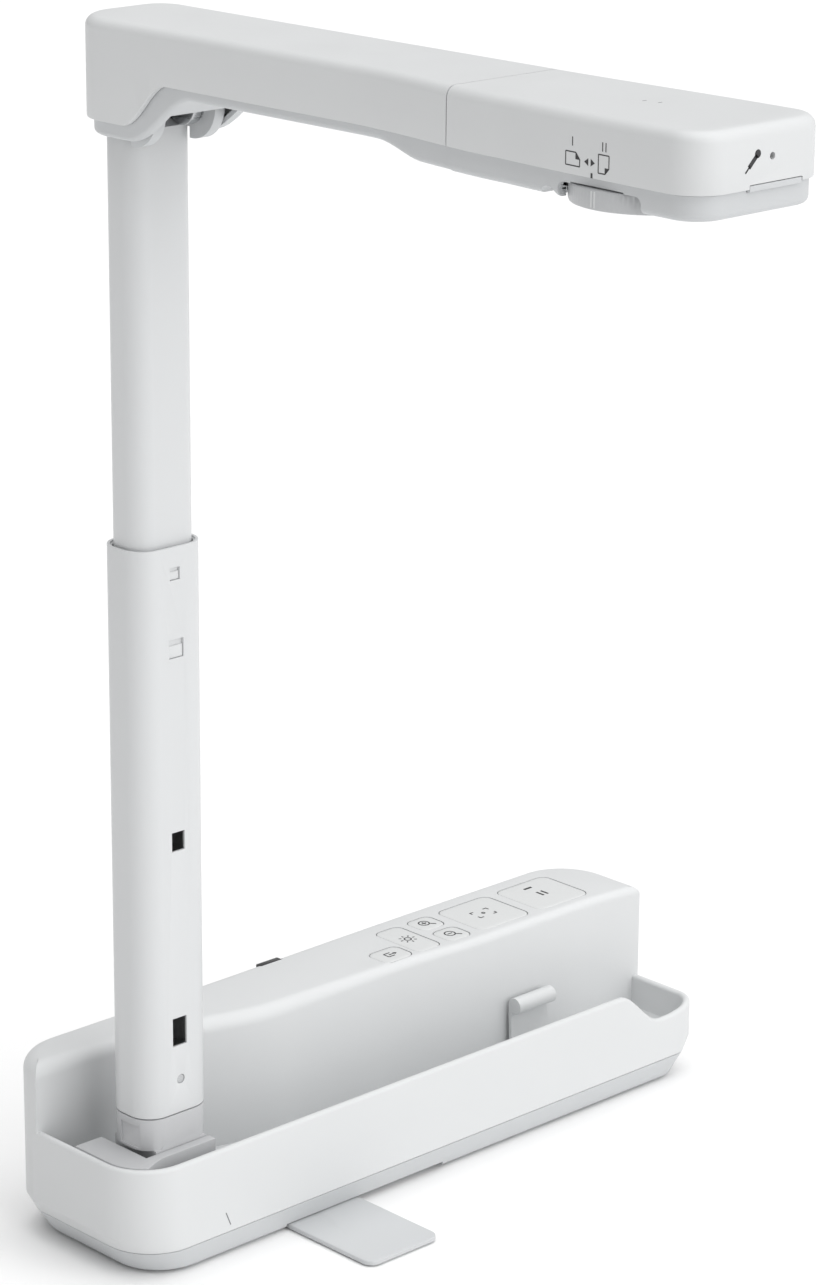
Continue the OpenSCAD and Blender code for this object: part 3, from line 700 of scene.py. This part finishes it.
def strip_cap(first, count, faces):
    """Closes a loop whose first half runs up the left edge and second half back down the right one."""
    half = count // 2
    for i in range(half - 1):
        faces.append((first + i, first + i + 1, first + count - 2 - i, first + count - 1 - i))


def case(name, left, right, levels, origin):
    """left and right are plan edges with as many points each, from the joint outwards.
    A level is (inset, height(x, y)). The first and last levels are closed over."""
    outline = left + right[::-1]
    n = len(outline)
    normals = []
    for i in range(n):
        p = Vector(outline[max(i - 1, 0)] if i < len(left) else outline[i - 1])
        q = Vector(outline[(i + 1) % n]) if i < n - 1 else Vector(outline[i])
        t = (q - p).normalized()
        normals.append(Vector((t.y, -t.x)))
    normals[0] = Vector((1, 0))
    normals[-1] = Vector((-1, 0))
    if left[0][1] > left[-1][1]:
        normals = [-v for v in normals]
        normals[0] = Vector((1, 0))
        normals[-1] = Vector((-1, 0))
    points, faces = [], []
    for inset, height in levels:
        for (x, y), v in zip(outline, normals):
            points.append((x + v.x * inset, y + v.y * inset, height(x, y)))
    for k in range(len(levels) - 1):
        for i in range(n):
            j = (i + 1) % n
            faces.append((k * n + i, k * n + j, (k + 1) * n + j, (k + 1) * n + i))
    strip_cap(0, n, faces)
    strip_cap((len(levels) - 1) * n, n, faces)
    return make(name, points, faces, origin)


FLARE_START = -110
FLARE_END = -176
FLARE_LEFT = -25.7
TIP_LEFT = -28.5
TIP_RIGHT = 22.5
TIP_R = 10.5


def left_edge(y):
    """Left side of the arm and head: parallel along the arm, flaring towards the lens."""
    if y > FLARE_START:
        return ARM_LEFT
    if y > FLARE_END:
        return ease(y, FLARE_START, ARM_LEFT, FLARE_END, FLARE_LEFT)
    settled = (1 - math.exp((y - FLARE_END) / 34)) / (1 - math.exp((-240 - FLARE_END) / 34))
    return FLARE_LEFT - 2.8 * settled


def right_edge(y):
    return ARM_RIGHT if y > JOINT_Y else ease(y, JOINT_Y, ARM_RIGHT, -232, TIP_RIGHT)


def arm_edges():
    stations = [JOINT_Y + 0.4 + i * 2.0 for i in range(1, 76)]
    stations = [JOINT_Y + 0.4] + [y for y in stations if y < -5]
    left_r, right_r = 17.0, 10.0
    left = [(left_edge(y), y) for y in stations]
    right = [(ARM_RIGHT, y) for y in stations]
    steps = 16
    for k in range(steps + 1):
        a = math.radians(90 * k / steps)
        left.append((ARM_LEFT + left_r - left_r * math.cos(a), ARM_REAR - left_r + left_r * math.sin(a)))
        right.append((ARM_RIGHT - right_r + right_r * math.cos(a),
                      ARM_REAR - right_r + right_r * math.sin(a)))
    return left, right


def fillet_up(r, top, steps=6):
    """Levels that roll an upright side over into a flat top."""
    out = []
    for k in range(steps + 1):
        a = math.radians(90 * k / steps)
        out.append((r * (1 - math.cos(a)), lambda x, y, z=top - r + r * math.sin(a): z))
    return out


def arm_low(y):
    """Bottom edge of the arm's upper shell."""
    return ease(-y, 11, 374.6, 31, ARM_SEAM)


def arm_under(y):
    """Underside of the arm's lower shell: deep round the column, slim, then deeper towards the head."""
    if y > -80:
        return ease(-y, 11, 369.5, 40, 385.0)
    return ease(-y, 118.6, 385.0, 139, 381.5)


def build_arm():
    left, right = arm_edges()
    inner_top = TOP_Z - 2.2
    levels = [(1.8, lambda x, y: inner_top), (1.8, lambda x, y: arm_low(y)), (0.3, lambda x, y: arm_low(y)),
              (0.08, lambda x, y: arm_low(y) + 0.08), (0, lambda x, y: arm_low(y) + 0.3),
              (0, lambda x, y: (arm_low(y) + TOP_Z - 3.4) / 2)]
    levels += fillet_up(3.2, TOP_Z)
    levels += [(6.5, lambda x, y: TOP_Z)]
    place(case("arm_upper_shell_skin", left, right, levels, ARM), "arm", WHITE,
          ["arm_upper_shell"], 26)

    r = 1.6
    levels = [(4.2, lambda x, y: arm_under(y) + 1.8), (4.2, lambda x, y: ARM_SEAM - 0.25),
              (2.2, lambda x, y: ARM_SEAM - 0.25)]
    for k in range(5):
        a = math.radians(90 * k / 4)
        levels.append((2.2 + r * (1 - math.cos(a)),
                       lambda x, y, d=r - r * math.sin(a): arm_under(y) + d))
    levels.append((6.5, lambda x, y: arm_under(y)))
    lower = case("arm_lower_shell_skin", left, right, levels, ARM)
    pivot = (node_box("arm_hinge_pin")[0] + node_box("arm_hinge_pin")[1]) / 2 - ARM
    well = [(pivot.y + 18.6, 364), (pivot.y + 18.6, pivot.z + 2)]
    well += [(pivot.y + 11.4 * math.cos(math.radians(a)), pivot.z + 11.4 * math.sin(math.radians(a)))
             for a in range(20, 171, 10)]
    well += [(pivot.y - 13, pivot.z + 1), (pivot.y - 30, pivot.z + 1), (pivot.y - 30, 364)]
    cut(lower, side_prism("elbow_well", well, -14, 14, ARM))
    place(lower, "arm", GREY, ["arm_lower_shell"], 30)


def head_edges():
    stations = [JOINT_Y - i * 2.0 for i in range(0, 60)]
    stations = [y for y in stations if y > TIP_Y + TIP_R + 0.5]
    left = [(left_edge(y), y) for y in stations]
    right = [(right_edge(y), y) for y in stations]
    steps = 12
    for k in range(steps + 1):
        a = math.radians(90 * k / steps)
        y = TIP_Y + TIP_R - TIP_R * math.sin(a)
        left.append((TIP_LEFT + TIP_R - TIP_R * math.cos(a), y))
        right.append((TIP_RIGHT - TIP_R + TIP_R * math.cos(a), y))
    return left, right


def build_head():
    left, right = head_edges()
    levels = [(1.8, lambda x, y: TOP_Z - 2.2), (1.8, lambda x, y: ARM_SEAM), (0.3, lambda x, y: ARM_SEAM),
              (0.08, lambda x, y: ARM_SEAM + 0.08), (0, lambda x, y: ARM_SEAM + 0.3), (0, lambda x, y: 395)]
    levels += fillet_up(3.4, TOP_Z)
    levels += [(7, lambda x, y: TOP_Z)]
    upper = case("head_upper_shell_skin", left, right, levels, ARM)
    bar_lo, bar_hi = node_box("lamp_bar")
    slot_cut = [(x, z) for x, z in rounded_box(bar_lo.x - ARM.x - 0.25, bar_hi.x - ARM.x + 0.25,
                                               ARM_SEAM - 2, bar_hi.z + 0.25, 0.3, 2)]
    slot_loops = [[(x, y, z) for x, z in slot_cut] for y in (TIP_Y - 1, TIP_Y + 3)]
    cut(upper, cylinder("mic_hole", (-0.6, TIP_Y - 1, 396.5), (-0.6, TIP_Y + 3, 396.5), 1.0, ARM, 24),
        rings("bar_slot", slot_loops, ARM))
    place(upper, "head", WHITE, ["head_upper_shell"], 26)

    r = 2.0
    under = node_box("head_lower_shell")[0].z
    levels = [(3.0, lambda x, y: under + 1.8), (3.0, lambda x, y: ARM_SEAM - 0.25),
              (1.2, lambda x, y: ARM_SEAM - 0.25), (1.2, lambda x, y: ARM_SEAM - 1.5)]
    for k in range(6):
        a = math.radians(90 * k / 5)
        levels.append((1.2 + r * (1 - math.cos(a)), lambda x, y, z=under + r - r * math.sin(a): z))
    levels.append((8, lambda x, y: under))
    lower = case("head_lower_shell_skin", left, right, levels, ARM)
    side = rounded_box(-229, -198.2, under - 4, 385.9, 2.0, 4)
    lamp = (node_box("lamp_lens")[0] + node_box("lamp_lens")[1]) / 2 - ARM
    low_slot = rounded_box(bar_lo.x - ARM.x - 0.2, bar_hi.x - ARM.x + 0.2,
                           bar_lo.z - 0.12, ARM_SEAM + 1, 0.05, 2)
    notch = arc(-194.4, under - 1, 3.4, 0, 180, 12)
    cutters = [cylinder("dial_hole", (DIAL.x, DIAL.y, under - 1), (DIAL.x, DIAL.y, 386.3),
                        DIAL_R + 0.4, ARM, 96),
               side_prism("dial_side", side, -40, DIAL.x - 10, ARM),
               side_prism("notch", notch, -40, -20, ARM),
               cylinder("barrel_hole", (DIAL.x, DIAL.y, 384), (DIAL.x, DIAL.y, 391), 13, ARM, 48),
               cylinder("lamp_hole", (lamp.x, lamp.y, under - 1), (lamp.x, lamp.y, 384.7), 4.02, ARM, 32),
               rings("bar_slot", [[(x, y, z) for x, z in low_slot] for y in (TIP_Y, TIP_Y + 3)], ARM)]
    for x, y in ((8, -170), (14, -238), (-19, -238)):
        cutters.append(cylinder("screw_hole", (x, y, under - 1), (x, y, 384), 2.8, ARM, 24))
    cut(lower, *cutters)
    place(lower, "head", GREY, ["head_lower_shell"], 30)
    carry("lamp_bar", "lamp_key", GREY, 0.2)
    carry("lamp_lens", "head", FROSTED, 0.3)
    carry("head_screws", "head", STEEL, 0.15)


def build_dial():
    z0, z1 = DIAL.z, DIAL.z + 5.5
    ridges = 96

    # The bore, the hollow underneath, the rim, and the hub that turns in the head
    profile = [(9.05, z0 + 1.6), (12, z0 + 1.6), (12.4, z0 + 0.1)]
    profile += [(DIAL_R - 0.9, z0), (DIAL_R - 0.25, z0 + 0.25), (DIAL_R, z0 + 0.9), (DIAL_R, z1 - 0.5)]
    profile += [(DIAL_R - 0.3, z1 - 0.1), (DIAL_R - 0.8, z1), (12.5, z1), (12.5, 391), (9.05, 391)]

    def knurl_rim(a, k):
        return -0.11 * (0.5 + 0.5 * math.cos(ridges * a)) if k in (5, 6) else 0

    n = ridges * 4
    loops = []
    for k, (r, z) in enumerate(profile):
        loops.append([(DIAL.x + (r + knurl_rim(2 * math.pi * i / n, k)) * math.cos(2 * math.pi * i / n),
                       DIAL.y + (r + knurl_rim(2 * math.pi * i / n, k)) * math.sin(2 * math.pi * i / n), z)
                      for i in range(n)])
    loops.append(loops[0])
    dial = rings("rotation_dial_turned", loops, ARM, False, False)
    place(dial, "dial", DIAL_GREY, ["rotation_dial"], 30)
    for k, a in enumerate((178.2, 181.2)):
        t = math.radians(a)
        out = Vector((math.cos(t), math.sin(t)))
        side = Vector((-out.y, out.x))
        c = Vector((DIAL.x, DIAL.y)) + out * (DIAL_R - 0.06)
        corners = [(c.x + side.x * s + out.x * d, c.y + side.y * s + out.y * d)
                   for s, d in ((-0.28, -0.3), (0.28, -0.3), (0.28, 0.12), (-0.28, 0.12))]
        rib = prism("dial_index_%d" % k, corners, z0 + 0.8, z1 - 0.4, ARM)
        place(rib, "dial", WHITE)
    carry("lens_barrel", "dial", DARK, 0.3)
    glass_lo, glass_hi = node_box("lens_glass")
    r = (glass_hi.x - glass_lo.x) / 2
    z = glass_lo.z
    dome = [(0.01, glass_hi.z), (r, glass_hi.z), (r, z + 0.7)]
    dome += [(r * math.cos(math.radians(a)), z + 0.7 - 0.7 * math.sin(math.radians(a)))
             for a in range(15, 90, 15)]
    dome += [(0.01, z)]
    place(lathe("lens_glass_dome", dome, (DIAL.x, DIAL.y), ARM), "dial", GLASS, ["lens_glass"])


# ---------- printed legend on the head ----------

def side_marks(name, shapes):
    """Marks on the head's left side, each an outline in (y, z)."""
    plates = []
    for s in shapes:
        inner = [(left_edge(y) + 0.05, y, z) for y, z in s]
        outer = [(left_edge(y) - 0.04, y, z) for y, z in s]
        plates.append(rings("mark", [inner, outer], ARM))
    place(join(name, plates), "head", INK)


def frame_strokes(points, w):
    return [bar(*points[i], *points[(i + 1) % len(points)], w) for i in range(len(points))]


def build_legend():
    w = 0.32
    one = [bar(-204.8, 396.2, -204.8, 398.6, w)]
    two = [bar(-216.0, 396.2, -216.0, 398.6, w), bar(-217.2, 396.2, -217.2, 398.6, w)]
    wide = frame_strokes([(-202.3, 391.0), (-207.6, 391.0), (-207.6, 392.9),
                          (-206.1, 394.6), (-202.3, 394.6)], w)
    wide.append([(-207.6, 392.8), (-206.0, 392.8), (-206.0, 394.6)])
    tall = frame_strokes([(-214.5, 395.3), (-218.4, 395.3), (-218.4, 391.9),
                          (-217.0, 390.4), (-214.5, 390.4)], w)
    tall.append([(-218.4, 392.0), (-216.9, 392.0), (-216.9, 390.4)])
    arrows = [[(-209.3, 392.7), (-210.8, 393.7), (-210.8, 391.7)],
              [(-213.2, 392.7), (-211.7, 393.7), (-211.7, 391.7)]]
    tick = [bar(-212.1, 388.7, -212.1, 390.0, 0.7)]
    side_marks("legend", one + two + wide + tall + arrows + tick)

    # Microphone symbol on the front edge, in (x, z)
    def front_marks(name, shapes, body, depth=0.04):
        plates = [rings("mark", [[(x, y, z) for x, z in s] for y in (TIP_Y + 0.05, TIP_Y - depth)], ARM)
                  for s in shapes]
        place(join(name, plates), body, INK)

    head_dot = arc(-6.3, 397.7, 1.15, 0, 345, 14)
    front_marks("microphone_symbol", [head_dot, bar(-9.6, 394.4, -6.6, 397.3, 1.3),
                                      bar(-10.9, 393.1, -9.2, 394.8, 0.5)], "head")

    # Two faint locating marks on the top
    marks = [bar(-1.9, -205.3, -0.5, -205.3, 0.35), bar(-0.9, -210, 0.5, -210, 0.35)]
    plates = [prism("mark", m, TOP_Z - 0.02, TOP_Z + 0.03, ARM) for m in marks]
    place(join("top_marks", plates), "head", INK_SOFT)


# ---------- every other node keeps its CAD shape ----------

def finish_hidden_nodes():
    slots = {s["node"]: s["material_slot"] for s in frame["record"]["subparts"]}
    for name, obj in frame["nodes"].items():
        material = SLOT_MATERIAL[slots[name]]
        obj.data.materials.clear()
        obj.data.materials.append(material)


# ---------- floor, light and camera ----------

def build_stage():
    mesh = bpy.data.meshes.new("floor")
    size = 8.0
    corners = [(-size, -size, 0), (size, -size, 0), (size, size, 0), (-size, size, 0)]
    mesh.from_pydata(corners, [], [(0, 1, 2, 3)])
    floor = bpy.data.objects.new("floor", mesh)
    bpy.context.collection.objects.link(floor)
    material, tree, shader, coords = node_material("floor_paper")
    cloud = noise(tree, coords, 3, 2)
    mix = tree.nodes.new("ShaderNodeMix")
    mix.data_type = "RGBA"
    mix.inputs["A"].default_value = (0.90, 0.90, 0.90, 1)
    mix.inputs["B"].default_value = (0.92, 0.92, 0.92, 1)
    tree.links.new(cloud.outputs["Fac"], mix.inputs["Factor"])
    tree.links.new(mix.outputs["Result"], shader.inputs["Base Color"])
    shader.inputs["Roughness"].default_value = 0.9
    shader.inputs["Specular IOR Level"].default_value = 0.1
    mesh.materials.append(material)


def soft_sun(name, towards_light, strength, spread):
    """A broad, even studio source far away; spread is its width in degrees."""
    data = bpy.data.lights.new(name, "SUN")
    data.energy = strength
    data.angle = math.radians(spread)
    obj = bpy.data.objects.new(name, data)
    obj.rotation_euler = Vector(towards_light).to_track_quat("Z", "Y").to_euler()
    bpy.context.collection.objects.link(obj)


def build_light():
    world = bpy.data.worlds.new("studio")
    world.use_nodes = True
    world.node_tree.nodes["Background"].inputs["Color"].default_value = (1, 1, 1, 1)
    world.node_tree.nodes["Background"].inputs["Strength"].default_value = 0.455
    bpy.context.scene.world = world
    soft_sun("overhead", (0.1, -0.1, 1), 1.8, 70)
    soft_sun("front", (0.15, -1, 0.4), 1.36, 60)
    bpy.context.scene.view_settings.view_transform = "Standard"


def build_camera():
    """Looks from the front left and a little above, with the lens of the reference view."""
    azimuth = math.radians(-43.694)
    elevation = math.radians(17.448)
    roll = math.radians(0.395)
    forward = Vector((-math.sin(azimuth) * math.cos(elevation), math.cos(azimuth) * math.cos(elevation),
                      -math.sin(elevation)))
    right = Vector((math.cos(azimuth), math.sin(azimuth), 0))
    down = forward.cross(right)
    level, fall = right, down
    right = level * math.cos(roll) - fall * math.sin(roll)
    down = level * math.sin(roll) + fall * math.cos(roll)
    data = bpy.data.cameras.new("camera")
    data.lens = 111.89
    data.clip_start = 0.05
    camera = bpy.data.objects.new("camera", data)
    turn = Matrix((right, -down, -forward)).transposed().to_4x4()
    spot = (Vector((-869.1, -896.2, 583.7)) + BASE) * MM
    camera.matrix_world = Matrix.Translation(spot) @ turn
    bpy.context.collection.objects.link(camera)
    bpy.context.scene.camera = camera


finish_hidden_nodes()
build_base_upper()
build_base_lower()
build_keys()
build_base_details()
build_column()
build_arm()
build_head()
build_dial()
build_legend()
build_stage()
build_light()
build_camera()
